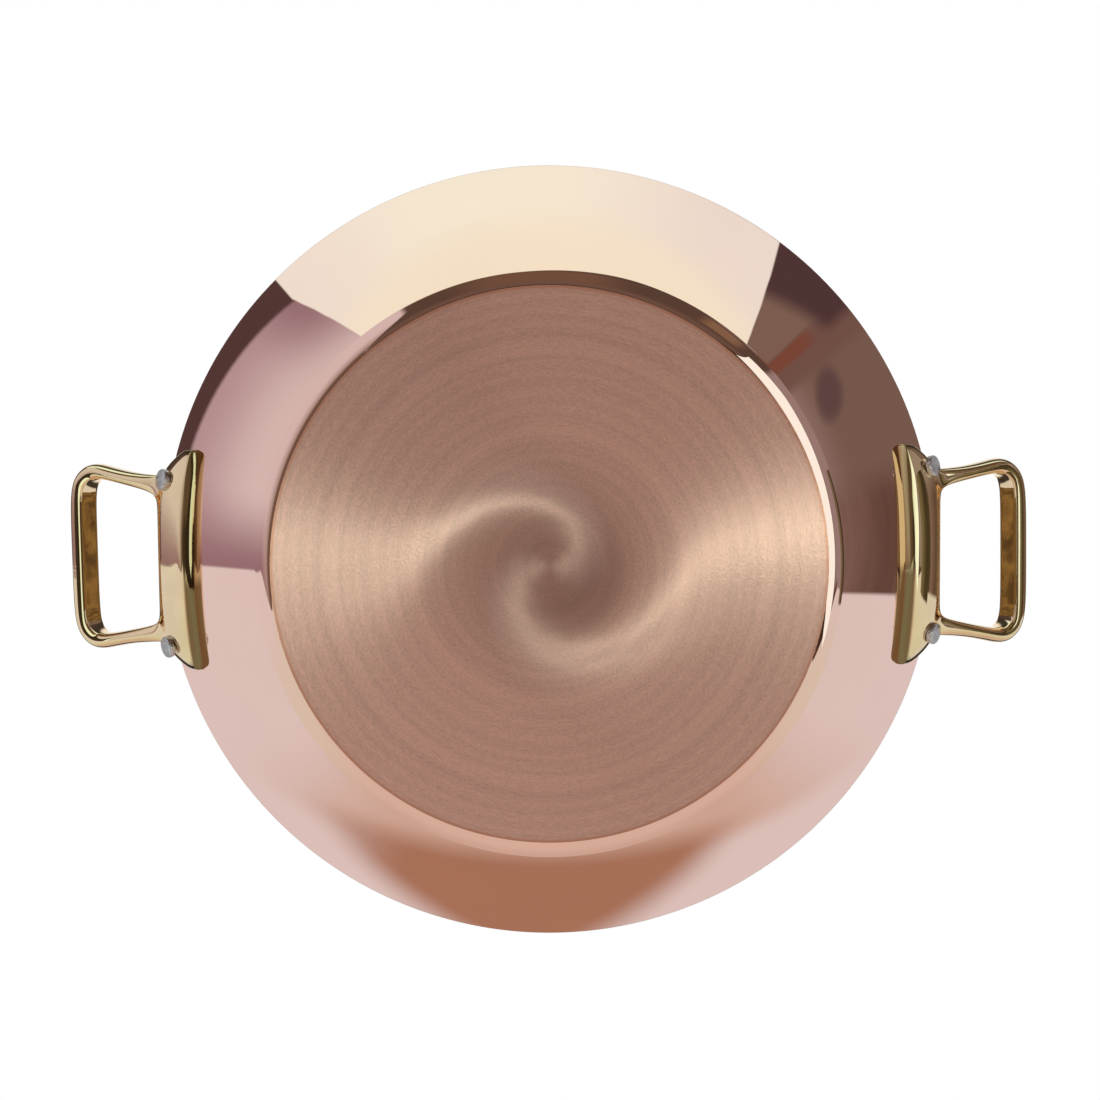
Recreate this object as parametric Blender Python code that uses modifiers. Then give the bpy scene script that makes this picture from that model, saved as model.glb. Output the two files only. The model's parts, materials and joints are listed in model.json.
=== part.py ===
"""Round copper gratin dish with two riveted cast brass handles.

Units are metres. +Z is up, out of the mouth, and the origin is the centre of the base's underside.
The handles lie along X. A place on the sloping wall is given by its drop, the distance down the
slope from the rim, by its y, and by how far it stands out from the copper along the normal.
"""
from math import acos, atan2, cos, hypot, pi, radians, sin, sqrt, tan

import bmesh
import bpy
from mathutils import Matrix, Vector

# Bowl, with the rim's radius taken at its outer corner before that edge is rounded
RIM_RADIUS = 0.100
BOWL_HEIGHT = 0.040
BASE_RADIUS = 0.0662
CORNER_RADIUS = 0.005
COPPER_WALL = 0.0014
LINING_WALL = 0.0004
RIM_EDGE_RADIUS = 0.0003
LINING_EDGE_RADIUS = 0.00012

# Clearance between pieces that touch
CLEARANCE = 0.0003

# Rivets
RIVET_SPACING = 0.0412
RIVET_DROP = 0.0056
SHANK_RADIUS = 0.0016
OUTER_HEAD_RADIUS = 0.00275
OUTER_HEAD_HEIGHT = 0.0014
INNER_HEAD_RADIUS = 0.0031
INNER_HEAD_HEIGHT = 0.0012
HEAD_DOME = 0.0004
HEAD_EDGE_RADIUS = 0.0005
CUTTER_MARGIN = 0.0010

# How far the casting's middle lies beside the middle of its two rivets
CASTING_SHIFT = 0.0009

# Lug, the part of the handle that lies on the wall
LUG_LENGTH = 0.0560
LUG_TOP_DROP = 0.0024
LUG_WAIST = 0.0028
LUG_SHOULDER_DROP = 0.0034
LUG_TIP_DROP = 0.0078
LUG_BOTTOM_DROP = 0.0169
LUG_BOTTOM_RISE = 0.0050
LUG_TIP_BOTTOM_DROP = 0.0120
LUG_SEAT = 0.0042
LUG_CROWN = 0.0006
LUG_FOOT = 0.0031
LUG_FOOT_LEAN = 0.0013
LUG_TIP_THICKNESS = 0.0032

# Rows of the lug's cage, from its upper edge to its lower edge, as (share of its height, front's height)
LUG_ROWS = (
    (0.0, LUG_SEAT + LUG_CROWN / 2),
    (0.25, LUG_SEAT + LUG_CROWN),
    (0.62, LUG_SEAT + LUG_CROWN / 2),
    (1.0, LUG_FOOT),
)

# Columns of the lug's cage on either side of its middle: two in the waist, then the arm's three
WAIST_SHARES = (1 / 3, 2 / 3)
ARM_COLUMN = 3

# Loop, the part of the handle that is held
LOOP_SLOPE = radians(25)
LOOP_REACH = 0.0269
LOOP_HALF_WIDTH = 0.0228
LOOP_CORNER_RADIUS = 0.0072
LOOP_SKEW = 0.0006
ARM_HALF_SPAN = 0.0192
ARM_WIDTH = 0.0044
ARM_ROOT_FLARE = 0.0014
ARM_WAIST_WIDTH = 0.0037
BAR_WIDTH = 0.0047
BAR_DEPTH = 0.0072
INNER_EDGE_CREASE = 0.5

# Sections of the loop's cage: on an arm as (share of the reach, width), round a corner, and on the bar
ARM_SECTIONS = ((0.15, ARM_WIDTH), (0.38, ARM_WAIST_WIDTH), (0.62, ARM_WAIST_WIDTH))
ARM_FULL_DEPTH_SHARE = 0.5
CORNER_TURNS = (radians(15), radians(45), radians(75))
BAR_SHARES = (0.42, 0.0)

# Cage points of one section, in half widths away from the hole and half depths upwards
SECTION = ((-1, 0.9), (-1, 0), (-1, -0.9), (-0.1, -1.14), (0.82, -0.82), (1.06, 0), (0.82, 0.82), (0, 1.06))

# Fineness
BOWL_STEPS = 96
RIVET_STEPS = 20
CORNER_SEGMENTS = 5
EDGE_SEGMENTS = 2
HANDLE_LEVELS = 1

WALL = COPPER_WALL + CLEARANCE + LINING_WALL

COPPER = ("copper", (0.80, 0.45, 0.34), 0.15)
STEEL = ("stainless_steel", (0.60, 0.59, 0.57), 0.30)
BRASS = ("brass", (0.80, 0.60, 0.28), 0.18)
RIVET_STEEL = ("rivet_steel", (0.52, 0.51, 0.50), 0.35)


# Wall geometry

def wall_normal_angle():
    """Angle of the wall's outward normal below the horizontal, as a negative number.

    The wall runs from the rim to where it touches the circle of the corner."""
    run = RIM_RADIUS - BASE_RADIUS
    rise = BOWL_HEIGHT - CORNER_RADIUS
    return atan2(rise, run) - acos(CORNER_RADIUS / hypot(run, rise))


NORMAL_ANGLE = wall_normal_angle()
NORMAL = Vector((cos(NORMAL_ANGLE), sin(NORMAL_ANGLE)))
UPHILL = Vector((-sin(NORMAL_ANGLE), cos(NORMAL_ANGLE)))


def on_wall(drop, y, out):
    """Point over the +X side of the wall."""
    section = Vector((RIM_RADIUS, BOWL_HEIGHT)) - UPHILL * drop + NORMAL * out
    return Vector((sqrt(section.x ** 2 - y ** 2), y, section.y))


def bowl_corner(inset):
    """Where the lines of the base and the wall would meet, on a surface inset from the copper's outside."""
    turn = pi / 2 + NORMAL_ANGLE
    return BASE_RADIUS + (CORNER_RADIUS - inset) * tan(turn / 2), inset


def rim_point(inset):
    """Where that surface meets the flat top of the rim."""
    return RIM_RADIUS - inset / cos(NORMAL_ANGLE), BOWL_HEIGHT


# Scene helpers

def clear_scene():
    for item in list(bpy.data.objects):
        bpy.data.objects.remove(item)


def new_collection(name):
    collection = bpy.data.collections.new(name)
    bpy.context.scene.collection.children.link(collection)
    return collection


def material(name, color, roughness):
    made = bpy.data.materials.new(name)
    made.use_nodes = True
    shader = made.node_tree.nodes["Principled BSDF"]
    shader.inputs["Base Color"].default_value = (*color, 1.0)
    shader.inputs["Roughness"].default_value = roughness
    shader.inputs["Metallic"].default_value = 1.0
    made.diffuse_color = (*color, 1.0)
    return made


def add_object(name, mesh, collection, finish=None):
    made = bpy.data.objects.new(name, mesh)
    collection.objects.link(made)
    if finish:
        mesh.materials.append(finish)
    return made


# Turned pieces

def arc_corner(before, corner, after, radius, segments):
    """Points of the fillet of a given radius at a corner between two straight lines."""
    towards = (before - corner).normalized()
    away = (after - corner).normalized()
    half = towards.angle(away) / 2
    centre = corner + (towards + away).normalized() * radius / sin(half)
    first = corner + towards * radius / tan(half) - centre
    last = corner + away * radius / tan(half) - centre
    sweep = first.angle_signed(last)
    turns = [Matrix.Rotation(-sweep * i / segments, 2) for i in range(segments + 1)]
    return [centre + turn @ first for turn in turns]


def rounded_profile(corners):
    """Points of a profile whose corners are (x, z, fillet radius, segments)."""
    places = [Vector(corner[:2]) for corner in corners]
    points = []
    for i, (x, z, radius, segments) in enumerate(corners):
        if radius:
            points += arc_corner(places[i - 1], places[i], places[i + 1], radius, segments)
        else:
            points.append(places[i])
    return points


def turned(name, points, steps, collection, finish=None):
    """Solid of revolution about Z from a profile at +X that runs down its outer side."""
    mesh = bpy.data.meshes.new(name)
    edges = [(i, i + 1) for i in range(len(points) - 1)]
    mesh.from_pydata([(point[0], 0.0, point[1]) for point in points], edges, [])
    made = add_object(name, mesh, collection, finish)
    screw = made.modifiers.new("Turn", "SCREW")
    screw.axis = "Z"
    screw.steps = steps
    screw.render_steps = steps
    screw.use_merge_vertices = True
    screw.merge_threshold = 0.00001
    screw.use_smooth_shade = True
    return made


def bowl_layer(name, outer, inner, edge_radius, collection, finish):
    """One metal layer of the bowl, between two insets from the copper's outside."""
    inner_corner = bowl_corner(inner)
    outer_corner = bowl_corner(outer)
    corners = [
        (0.0, inner, 0.0, 0),
        (*inner_corner, CORNER_RADIUS - inner, CORNER_SEGMENTS),
        (*rim_point(inner), edge_radius, EDGE_SEGMENTS),
        (*rim_point(outer), edge_radius, EDGE_SEGMENTS),
        (*outer_corner, CORNER_RADIUS - outer, CORNER_SEGMENTS),
        (0.0, outer, 0.0, 0),
    ]
    return turned(name, rounded_profile(corners), BOWL_STEPS, collection, finish)


# Rivets

def rivet_points():
    """Profile of a rivet about its axis, with zero height at the copper's outside."""
    seat = LUG_SEAT + CLEARANCE
    inside = -WALL - CLEARANCE
    top = seat + OUTER_HEAD_HEIGHT
    bottom = inside - INNER_HEAD_HEIGHT
    corners = [
        (0.0, top, 0.0, 0),
        (OUTER_HEAD_RADIUS, top - HEAD_DOME, HEAD_EDGE_RADIUS, EDGE_SEGMENTS),
        (OUTER_HEAD_RADIUS, seat, 0.0, 0),
        (SHANK_RADIUS, seat, 0.0, 0),
        (SHANK_RADIUS, inside, 0.0, 0),
        (INNER_HEAD_RADIUS, inside, 0.0, 0),
        (INNER_HEAD_RADIUS, bottom + HEAD_DOME, HEAD_EDGE_RADIUS, EDGE_SEGMENTS),
        (0.0, bottom, 0.0, 0),
    ]
    return rounded_profile(corners)


def rivet_clearance_points():
    """Profile of what is cut away for a rivet: the hole for its shank and the flat seat of its head."""
    hole = SHANK_RADIUS + CLEARANCE
    seat = OUTER_HEAD_RADIUS + CLEARANCE
    top = LUG_SEAT + OUTER_HEAD_HEIGHT + CUTTER_MARGIN
    bottom = -WALL - CUTTER_MARGIN
    return [(0.0, top), (seat, top), (seat, LUG_SEAT), (hole, LUG_SEAT), (hole, bottom), (0.0, bottom)]


def place_on_wall(made, x_side, y_side):
    """Stands a turned piece on the wall at one rivet's place, with its axis square to the wall."""
    y = y_side * RIVET_SPACING / 2
    place = on_wall(RIVET_DROP, y, 0.0)
    radius = hypot(place.x, place.y)
    normal = Vector((place.x / radius * NORMAL.x, place.y / radius * NORMAL.x, NORMAL.y))
    place.x *= x_side
    normal.x *= x_side
    made.location = place
    made.rotation_mode = "QUATERNION"
    made.rotation_quaternion = normal.to_track_quat("Z", "Y")


# Cast handle

def lug_half(side):
    """Columns from the middle of the lug's cage to one tip, as (y, drop of the upper edge)."""
    tip = side * LUG_LENGTH / 2
    arm = side * ARM_HALF_SPAN
    inner = arm - side * (ARM_WIDTH / 2 + ARM_ROOT_FLARE)
    outer = arm + side * ARM_WIDTH / 2
    waist = [(inner * share, LUG_TOP_DROP + LUG_WAIST * (1 - share ** 2)) for share in WAIST_SHARES]
    shoulder = ((outer + tip) / 2, LUG_SHOULDER_DROP)
    arms = [(y, LUG_TOP_DROP) for y in (inner, arm, outer)]
    return waist + arms + [shoulder, (tip, LUG_TIP_DROP)]


def lug_columns():
    """Columns of the lug's cage as (y, upper edge's drop, lower edge's drop, thinning at the tips)."""
    tip = LUG_LENGTH / 2
    middle = (0.0, LUG_TOP_DROP + LUG_WAIST)
    columns = []
    for y, top in lug_half(-1)[::-1] + [middle] + lug_half(1):
        reach = (y / tip) ** 2
        bottom = LUG_TIP_BOTTOM_DROP if reach == 1 else LUG_BOTTOM_DROP - LUG_BOTTOM_RISE * reach
        columns.append((y + CASTING_SHIFT, top, bottom, reach ** 3))
    return columns


def loop_stations():
    """Cage sections of one half of the loop, from the arm's root to the middle of the bar.

    Each is (out along the loop, half span, direction away from the hole, half width, half depth)."""
    across = Vector((0.0, 1.0))
    along = Vector((1.0, 0.0))
    stations = []
    root_depth = LUG_SEAT / 2
    for share, width in ARM_SECTIONS:
        spread = (1 - cos(pi * share)) / 2
        span = ARM_HALF_SPAN + (LOOP_HALF_WIDTH - ARM_HALF_SPAN) * spread
        depth = root_depth + (BAR_DEPTH / 2 - root_depth) * min(1.0, share / ARM_FULL_DEPTH_SHARE)
        stations.append((LOOP_REACH * share, span, across, width / 2, depth))
    centre = Vector((LOOP_REACH - LOOP_CORNER_RADIUS, LOOP_HALF_WIDTH - LOOP_CORNER_RADIUS))
    for turn in CORNER_TURNS:
        away = across * cos(turn) + along * sin(turn)
        place = centre + away * LOOP_CORNER_RADIUS
        stations.append((place.x, place.y, away, BAR_WIDTH / 2, BAR_DEPTH / 2))
    for share in BAR_SHARES:
        stations.append((LOOP_REACH, LOOP_HALF_WIDTH * share, along, BAR_WIDTH / 2, BAR_DEPTH / 2))
    return stations


def loop_ring(station, side, root):
    """Eight cage points round the loop's bar at a station, on the side of the hole that side names."""
    out, span, away, half_width, half_depth = station
    outward = Vector((cos(LOOP_SLOPE), 0.0, sin(LOOP_SLOPE)))
    upward = Vector((-sin(LOOP_SLOPE), 0.0, cos(LOOP_SLOPE)))
    sideways = Vector((0.0, 1.0, 0.0))
    shift = CASTING_SHIFT + LOOP_SKEW * out / LOOP_REACH
    centre = root + outward * out + sideways * (side * span + shift)
    beside = outward * away.x + sideways * (side * away.y)
    return [centre + beside * (half_width * a) + upward * (half_depth * b) for a, b in SECTION]


def handle_cage():
    """Cage of the whole casting: the lug on the wall, with the loop growing from its upper edge."""
    cage = bmesh.new()
    crease = cage.edges.layers.float.new("crease_edge")
    columns = lug_columns()
    last_column = len(columns) - 1
    last_row = len(LUG_ROWS) - 1
    points = {}
    for i, (y, top, bottom, thinning) in enumerate(columns):
        for j, (share, height) in enumerate(LUG_ROWS):
            front = height + (min(height, LUG_TIP_THICKNESS) - height) * thinning
            edge = i in (0, last_column) or j in (0, last_row)
            lean = LUG_FOOT_LEAN / 2 if j == last_row else 0.0
            for k, out in enumerate((CLEARANCE, (CLEARANCE + front) / 2, front)):
                if edge or k != 1:
                    drop = top + (bottom - top) * share - lean * k
                    points[i, j, k] = cage.verts.new(on_wall(drop, y, out))
    arms = (ARM_COLUMN, last_column - ARM_COLUMN)

    def face(*keys):
        return cage.faces.new([points[key] for key in keys])

    for i in range(last_column):
        for j in range(last_row):
            for k in (0, 2):
                face((i, j, k), (i + 1, j, k), (i + 1, j + 1, k), (i, j + 1, k))
        for k in (0, 1):
            face((i, last_row, k), (i + 1, last_row, k), (i + 1, last_row, k + 1), (i, last_row, k + 1))
            if i not in arms and i + 1 not in arms:
                face((i, 0, k), (i + 1, 0, k), (i + 1, 0, k + 1), (i, 0, k + 1))
    for i in (0, last_column):
        for j in range(last_row):
            for k in (0, 1):
                face((i, j, k), (i, j + 1, k), (i, j + 1, k + 1), (i, j, k + 1))
    for i in arms:
        cage.verts.remove(points.pop((i, 0, 1)))

    def root_ring(arm, side):
        inner, outer = arm - side, arm + side
        keys = ((inner, 0), (inner, 1), (inner, 2), (arm, 2), (outer, 2), (outer, 1), (outer, 0), (arm, 0))
        return [points[i, 0, k] for i, k in keys]

    root = on_wall(LUG_TOP_DROP, ARM_HALF_SPAN, (LUG_SEAT + CLEARANCE) / 2)
    root.y = 0.0
    stations = loop_stations()
    rings = [root_ring(arms[1], 1)]
    rings += [[cage.verts.new(p) for p in loop_ring(station, 1, root)] for station in stations]
    rings += [[cage.verts.new(p) for p in loop_ring(station, -1, root)] for station in stations[-2::-1]]
    rings.append(root_ring(arms[0], -1))
    for one, two in zip(rings, rings[1:]):
        for i in range(8):
            cage.faces.new((one[i - 1], one[i], two[i], two[i - 1]))
    for one, two in zip(rings, rings[1:]):
        for corner in (0, 2):
            cage.edges.get((one[corner], two[corner]))[crease] = INNER_EDGE_CREASE
    for i in range(last_column):
        cage.edges.get((points[i, last_row, 0], points[i + 1, last_row, 0]))[crease] = 1.0
        if i not in arms and i + 1 not in arms:
            cage.edges.get((points[i, 0, 0], points[i + 1, 0, 0]))[crease] = 1.0
    for i in (0, last_column):
        for j in range(last_row):
            cage.edges.get((points[i, j, 0], points[i, j + 1, 0]))[crease] = 1.0
    bmesh.ops.recalc_face_normals(cage, faces=cage.faces)
    return cage


def handle_mesh():
    mesh = bpy.data.meshes.new("handle")
    cage = handle_cage()
    cage.to_mesh(mesh)
    cage.free()
    mesh.shade_smooth()
    return mesh


def cast_handle(name, mesh, turn, collection):
    made = add_object(name, mesh, collection)
    made.rotation_euler.z = turn
    smooth = made.modifiers.new("Cast form", "SUBSURF")
    smooth.levels = HANDLE_LEVELS
    smooth.render_levels = HANDLE_LEVELS
    return made


def cut_for_rivets(made, cutters):
    cut = made.modifiers.new("Rivet holes", "BOOLEAN")
    cut.operation = "DIFFERENCE"
    cut.operand_type = "COLLECTION"
    cut.collection = cutters
    cut.solver = "EXACT"


def rivet(x_side, y_side, place, steel, dish, cutters):
    """One rivet with the cutter that clears its hole and its seat."""
    for name, points, collection, finish in (
        (f"rivet_{place}", rivet_points(), dish, steel),
        (f"rivet_clearance_{place}", rivet_clearance_points(), cutters, None),
    ):
        made = turned(name, points, RIVET_STEPS, collection, finish)
        place_on_wall(made, x_side, y_side)
    made.hide_render = True
    made.display_type = "WIRE"


def build():
    clear_scene()
    dish = new_collection("copper_gratin_dish")
    cutters = new_collection("cutters")
    copper, steel, brass, rivet_steel = [material(*given) for given in (COPPER, STEEL, BRASS, RIVET_STEEL)]

    shell = bowl_layer("copper_shell", 0.0, COPPER_WALL, RIM_EDGE_RADIUS, dish, copper)
    lining = bowl_layer("steel_lining", COPPER_WALL + CLEARANCE, WALL, LINING_EDGE_RADIUS, dish, steel)

    casting = handle_mesh()
    casting.materials.append(brass)
    right = cast_handle("handle_right", casting, 0.0, dish)
    left = cast_handle("handle_left", casting, pi, dish)

    for x_side, x_name in ((-1, "left"), (1, "right")):
        for y_side, y_name in ((-1, "front"), (1, "back")):
            rivet(x_side, y_side, f"{x_name}_{y_name}", rivet_steel, dish, cutters)

    for made in (shell, lining, right, left):
        cut_for_rivets(made, cutters)


build()
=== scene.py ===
"""Looks of the round copper gratin dish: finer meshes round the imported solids, finishes, studio and camera.

Units are metres in the CAD frame: +Z is up, out of the mouth, and the handles lie along X. The
photograph shows the underside, so its camera stands below the dish and looks up. A direction in the
studio is given as the photograph's own angle, counter-clockwise from the picture's right, and an
elevation above the dish's horizon. The picture's right is +X and its top is -Y.
"""
import json
from math import acos, atan2, cos, hypot, pi, radians, sin, sqrt, tan

import bmesh
import bpy
from mathutils import Matrix, Vector

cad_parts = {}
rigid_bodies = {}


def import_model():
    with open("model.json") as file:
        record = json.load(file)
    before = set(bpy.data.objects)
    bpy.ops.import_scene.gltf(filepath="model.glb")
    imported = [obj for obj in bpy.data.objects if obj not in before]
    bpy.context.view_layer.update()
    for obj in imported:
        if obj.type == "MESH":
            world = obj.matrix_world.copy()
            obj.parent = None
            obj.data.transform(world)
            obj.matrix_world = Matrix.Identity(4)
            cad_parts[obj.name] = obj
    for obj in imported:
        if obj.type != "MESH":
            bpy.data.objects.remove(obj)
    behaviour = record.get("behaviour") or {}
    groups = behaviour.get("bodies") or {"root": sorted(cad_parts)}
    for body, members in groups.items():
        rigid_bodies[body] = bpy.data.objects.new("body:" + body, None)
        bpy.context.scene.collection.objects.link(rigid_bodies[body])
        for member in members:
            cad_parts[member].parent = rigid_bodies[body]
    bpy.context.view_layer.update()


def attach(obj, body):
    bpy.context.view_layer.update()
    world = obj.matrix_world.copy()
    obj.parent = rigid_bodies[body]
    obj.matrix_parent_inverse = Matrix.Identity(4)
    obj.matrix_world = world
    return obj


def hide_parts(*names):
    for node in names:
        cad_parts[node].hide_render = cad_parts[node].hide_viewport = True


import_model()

# Bowl, with the rim's radius taken at its outer corner before that edge is rounded
RIM_RADIUS = 0.100
BOWL_HEIGHT = 0.040
BASE_RADIUS = 0.0662
CORNER_RADIUS = 0.005
COPPER_WALL = 0.0014
LINING_WALL = 0.0004
CLEARANCE = 0.0003
RIM_EDGE_RADIUS = 0.00034
LINING_EDGE_RADIUS = 0.00012
WALL = COPPER_WALL + CLEARANCE + LINING_WALL
SEAM = 0.00002

# Rivets
RIVET_SPACING = 0.0412
RIVET_DROP = 0.0056
SHANK_RADIUS = 0.0016
OUTER_HEAD_RADIUS = 0.00275
OUTER_HEAD_HEIGHT = 0.0014
INNER_HEAD_RADIUS = 0.0031
INNER_HEAD_HEIGHT = 0.0012
HEAD_DOME = 0.0004
HEAD_EDGE_RADIUS = 0.0005
CUTTER_MARGIN = 0.0010

# Cast handle, with the same cage as the CAD solid
CASTING_SHIFT = 0.0009
LUG_LENGTH = 0.0560
LUG_TOP_DROP = 0.0024
LUG_WAIST = 0.0028
LUG_SHOULDER_DROP = 0.0034
LUG_TIP_DROP = 0.0078
LUG_BOTTOM_DROP = 0.0169
LUG_BOTTOM_RISE = 0.0050
LUG_TIP_BOTTOM_DROP = 0.0120
LUG_SEAT = 0.0042
LUG_CROWN = 0.0006
LUG_FOOT = ((1.0, SEAM), (0.987, 0.0011), (0.936, 0.0024))
LUG_TIP_THICKNESS = 0.0020
LUG_ROWS = (
    (0.0, LUG_SEAT + LUG_CROWN / 2),
    (0.25, LUG_SEAT + LUG_CROWN),
    (0.60, LUG_SEAT + LUG_CROWN / 2),
    (0.855, 0.0035),
    (1.0, LUG_FOOT[-1][1]),
)
WAIST_SHARES = (1 / 3, 2 / 3)
ARM_COLUMN = 3
LOOP_SLOPE = radians(25)
LOOP_REACH = 0.0269
LOOP_HALF_WIDTH = 0.0228
LOOP_CORNER_RADIUS = 0.0072
LOOP_SKEW = 0.0006
ARM_HALF_SPAN = 0.0192
ARM_WIDTH = 0.0044
ARM_ROOT_FLARE = 0.0014
ARM_WAIST_WIDTH = 0.0037
BAR_WIDTH = 0.0046
BAR_DEPTH = 0.0071
INNER_EDGE_CREASE = 0.5
ARM_SECTIONS = ((0.15, ARM_WIDTH), (0.38, ARM_WAIST_WIDTH), (0.62, ARM_WAIST_WIDTH))
ARM_FULL_DEPTH_SHARE = 0.5
CORNER_TURNS = (radians(15), radians(45), radians(75))
BAR_SHARES = (0.42, 0.0)
BAR_SECTION = (
    (-1, 0.9), (-1, 0), (-1, -0.9), (-0.1, -1.14),
    (0.82, -0.82), (1.06, 0), (0.82, 0.82), (0, 1.06),
)
ARM_SECTION = (
    (-0.84, 0.8), (-1.1, 0), (-0.84, -0.8), (0, -1.12),
    (0.84, -0.8), (1.1, 0), (0.84, 0.8), (0, 1.1),
)

# Fineness
BOWL_STEPS = 240
RIVET_STEPS = 48
CORNER_SEGMENTS = 14
EDGE_SEGMENTS = 4
HANDLE_LEVELS = 3
GUARD = 0.0001
GUARDED_LENGTH = 0.005
SHARP_ANGLE = radians(38)

# Metals
COPPER_TINT = (0.955, 0.638, 0.538)
BRASS_TINT = (0.95, 0.72, 0.45)

# Spun base: painted shade along its rounded edge, and the swirl of its brush marks, which is larger towards
# one side
BASE_EDGE_SHADE_RING = (0.0652, 0.0659)
BASE_EDGE_SHADE_COLOR = (0.70, 0.36, 0.24)
BASE_CENTRE_COLOR = (0.60, 0.36, 0.29)
SWIRL_RADIUS = 0.0195
SWIRL_TURN = pi
SWIRL_SIDE = (0.259, 0.966)
SWIRL_LEAN = 0.3

# Painted shade: a darker patch beside the base's centre
PAINTED_SHADE_SIDE = (0.766, 0.643)
PAINTED_SHADE_RING = (0.007, 0.018, 0.006)
PAINTED_SHADE_COLOR = (0.42, 0.25, 0.20)

# Satin roughness, kept on one side of the value at which the denoiser starts to treat metal as a mirror
SATIN_ROUGHNESS = 0.282
SATIN_SPREAD = 0.03
CENTRE_ROUGHNESS = 0.27

# Painted shade: darker brass under the lug's lower edge, by height over the wall and by drop below the rim
CORNER_SHADE_HEIGHT = (0.0021, 0.0027)
CORNER_SHADE_DROP = (0.0085, 0.0095)
CORNER_SHADE_BRASS = (0.62, 0.48, 0.24)
CORNER_SHADE_BRASS_DARK = (0.24, 0.17, 0.08)


# Wall geometry

def wall_normal_angle():
    run = RIM_RADIUS - BASE_RADIUS
    rise = BOWL_HEIGHT - CORNER_RADIUS
    return atan2(rise, run) - acos(CORNER_RADIUS / hypot(run, rise))


NORMAL_ANGLE = wall_normal_angle()
NORMAL = Vector((cos(NORMAL_ANGLE), sin(NORMAL_ANGLE)))
UPHILL = Vector((-sin(NORMAL_ANGLE), cos(NORMAL_ANGLE)))


def on_wall(drop, y, out):
    """Point over the +X side of the wall."""
    section = Vector((RIM_RADIUS, BOWL_HEIGHT)) - UPHILL * drop + NORMAL * out
    return Vector((sqrt(section.x ** 2 - y ** 2), y, section.y))


def bowl_corner(inset):
    turn = pi / 2 + NORMAL_ANGLE
    return BASE_RADIUS + (CORNER_RADIUS - inset) * tan(turn / 2), inset


def rim_point(inset):
    return RIM_RADIUS - inset / cos(NORMAL_ANGLE), BOWL_HEIGHT


# Meshes

def add_piece(name, node, mesh, slot, *finishes):
    """A shown piece that stands for a CAD node."""
    piece = bpy.data.objects.new(name, mesh)
    bpy.context.scene.collection.objects.link(piece)
    for finish in finishes:
        mesh.materials.append(finish)
    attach(piece, "root")
    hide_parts(node)
    return piece


def arc_corner(before, corner, after, radius, segments):
    towards = (before - corner).normalized()
    away = (after - corner).normalized()
    half = towards.angle(away) / 2
    centre = corner + (towards + away).normalized() * radius / sin(half)
    first = corner + towards * radius / tan(half) - centre
    last = corner + away * radius / tan(half) - centre
    sweep = first.angle_signed(last)
    turns = [Matrix.Rotation(-sweep * i / segments, 2) for i in range(segments + 1)]
    return [centre + turn @ first for turn in turns]


def rounded_profile(corners):
    places = [Vector(corner[:2]) for corner in corners]
    points = []
    for i, (_, _, radius, segments) in enumerate(corners):
        if radius:
            points += arc_corner(places[i - 1], places[i], places[i + 1], radius, segments)
        else:
            points.append(places[i])
    return points


def guarded_profile(points):
    """The same profile with a ring close to each end of its long straights, so that they shade flat."""
    fine = [points[0]]
    for one, two in zip(points, points[1:]):
        if (two - one).length > GUARDED_LENGTH:
            along = (two - one).normalized() * GUARD
            fine += [one + along, two - along]
        fine.append(two)
    return fine


def turned_mesh(name, points, steps):
    """Mesh turned about Z from a profile that starts and ends on the axis."""
    made = bmesh.new()
    rings = []
    for point in points:
        if point[0] < 1e-7:
            rings.append([made.verts.new((0.0, 0.0, point[1]))])
        else:
            turns = [2 * pi * i / steps for i in range(steps)]
            rings.append([made.verts.new((point[0] * cos(t), point[0] * sin(t), point[1])) for t in turns])
    for one, two in zip(rings, rings[1:]):
        for i in range(steps):
            j = (i + 1) % steps
            if len(one) == 1:
                made.faces.new((one[0], two[i], two[j]))
            elif len(two) == 1:
                made.faces.new((one[i], two[0], one[j]))
            else:
                made.faces.new((one[i], two[i], two[j], one[j]))
    bmesh.ops.recalc_face_normals(made, faces=made.faces)
    mesh = bpy.data.meshes.new(name)
    made.to_mesh(mesh)
    made.free()
    mesh.shade_smooth()
    return mesh


def bowl_points(outer, inner, edge_radius, inner_edge_radius):
    corners = [
        (0.0, inner, 0.0, 0),
        (*bowl_corner(inner), CORNER_RADIUS - inner, CORNER_SEGMENTS),
        (*rim_point(inner), inner_edge_radius, EDGE_SEGMENTS),
        (*rim_point(outer), edge_radius, EDGE_SEGMENTS),
        (*bowl_corner(outer), CORNER_RADIUS - outer, CORNER_SEGMENTS),
        (0.0, outer, 0.0, 0),
    ]
    return guarded_profile(rounded_profile(corners))


def rivet_points():
    seat = LUG_SEAT + SEAM
    inside = -WALL - SEAM
    top = LUG_SEAT + CLEARANCE + OUTER_HEAD_HEIGHT
    bottom = -WALL - CLEARANCE - INNER_HEAD_HEIGHT
    corners = [
        (0.0, top, 0.0, 0),
        (OUTER_HEAD_RADIUS, top - HEAD_DOME, HEAD_EDGE_RADIUS, EDGE_SEGMENTS),
        (OUTER_HEAD_RADIUS, seat, 0.0, 0),
        (SHANK_RADIUS, seat, 0.0, 0),
        (SHANK_RADIUS, inside, 0.0, 0),
        (INNER_HEAD_RADIUS, inside, 0.0, 0),
        (INNER_HEAD_RADIUS, bottom + HEAD_DOME, HEAD_EDGE_RADIUS, EDGE_SEGMENTS),
        (0.0, bottom, 0.0, 0),
    ]
    return rounded_profile(corners)


def rivet_clearance_points():
    hole = SHANK_RADIUS + SEAM
    seat = OUTER_HEAD_RADIUS + SEAM
    top = LUG_SEAT + OUTER_HEAD_HEIGHT + CUTTER_MARGIN
    bottom = -WALL - CUTTER_MARGIN
    points = [(0.0, top), (seat, top), (seat, LUG_SEAT), (hole, LUG_SEAT), (hole, bottom), (0.0, bottom)]
    return [Vector(point) for point in points]


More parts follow.
